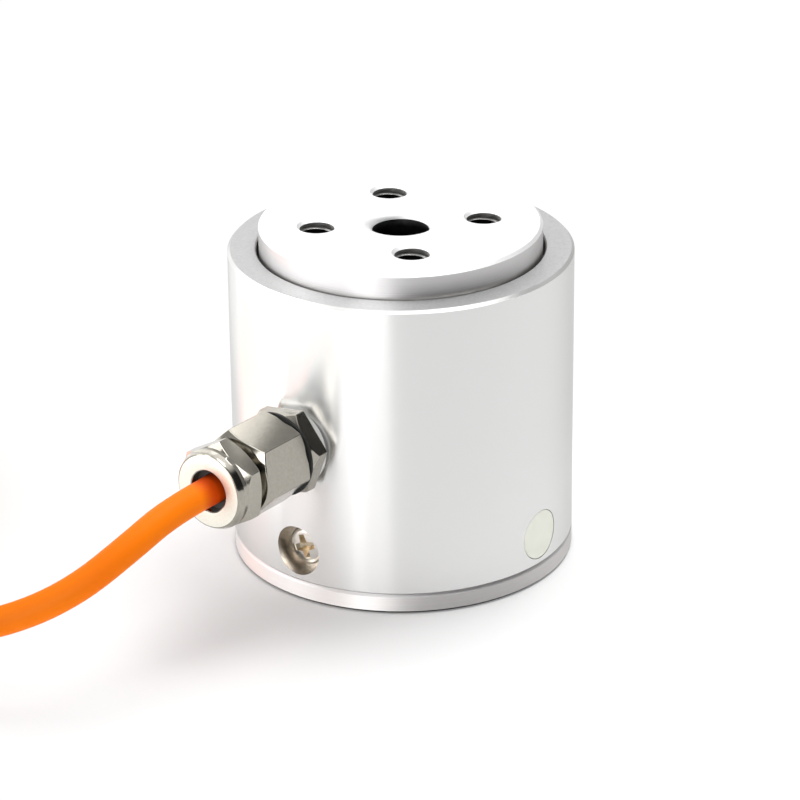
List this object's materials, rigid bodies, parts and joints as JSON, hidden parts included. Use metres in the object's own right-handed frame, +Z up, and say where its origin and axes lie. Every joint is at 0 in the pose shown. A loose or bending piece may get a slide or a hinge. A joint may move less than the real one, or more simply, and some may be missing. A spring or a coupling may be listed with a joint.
{
  "type": "column load cell",
  "caption": "Column load cell: a sleeved aluminium column with a raised loading platform, tapped fixing holes at both ends and a side cable gland with a free cable",
  "frame": {"origin": "centre of the foot's underside, on the column's axis", "axes": "+Z up the column to the loading platform, the cable gland points along -Y"},
  "size_m": [0.1635, 0.1262, 0.0605],
  "materials": {
    "aluminium": "satin, turned",
    "nickel_plate": "nickel plated brass",
    "screw_steel": "zinc plated",
    "plug_ivory": "moulded, smooth",
    "seal_rubber": "matte",
    "cable_orange": "extruded, semi-matte",
    "gauge_film": "amber film with foil grid",
    "solder_metal": "tinned",
    "board_green": "solder mask",
    "resistor_body": "glazed",
    "core_red": "extruded",
    "core_black": "extruded",
    "core_green": "extruded",
    "core_white": "extruded",
    "tie_black": "moulded"
  },
  "bodies": {
    "root": {"elastic_element": "aluminium", "sleeve": "aluminium", "sleeve_screws": "screw_steel", "screw_hole_plugs": "plug_ivory", "base_o_ring": "seal_rubber", "platform_gap_seal": "seal_rubber", "gland_seat_ring": "seal_rubber", "gland_gasket": "seal_rubber", "gland_lock_nut": "nickel_plate", "gland_body": "nickel_plate", "gland_seal": "seal_rubber", "gland_pressure_washer": "nickel_plate", "gland_dome_nut": "nickel_plate", "bridge_board": "board_green", "board_standoffs": "solder_metal", "board_screws": "screw_steel", "cable_inner": "cable_orange", "drain_wire": "solder_metal", "cable_run": "cable_orange", "cable_coil": "cable_orange", "cable_tail": "cable_orange", "coil_ties": "tie_black", "end_sleeve": "tie_black", "gauge_front": "gauge_film", "terminal_front": "solder_metal", "gauge_leads_front": "solder_metal", "gauge_right": "gauge_film", "terminal_right": "solder_metal", "gauge_leads_right": "solder_metal", "gauge_rear": "gauge_film", "terminal_rear": "solder_metal", "gauge_leads_rear": "solder_metal", "gauge_left": "gauge_film", "terminal_left": "solder_metal", "gauge_leads_left": "solder_metal", "zero_resistor": "resistor_body", "span_resistor": "resistor_body", "balance_resistor": "resistor_body", "modulus_resistor": "resistor_body", "core_red": "core_red", "end_lead_red": "core_red", "core_black": "core_black", "end_lead_black": "core_black", "core_green": "core_green", "end_lead_green": "core_green", "core_white": "core_white", "end_lead_white": "core_white"}
  },
  "joints": []
}
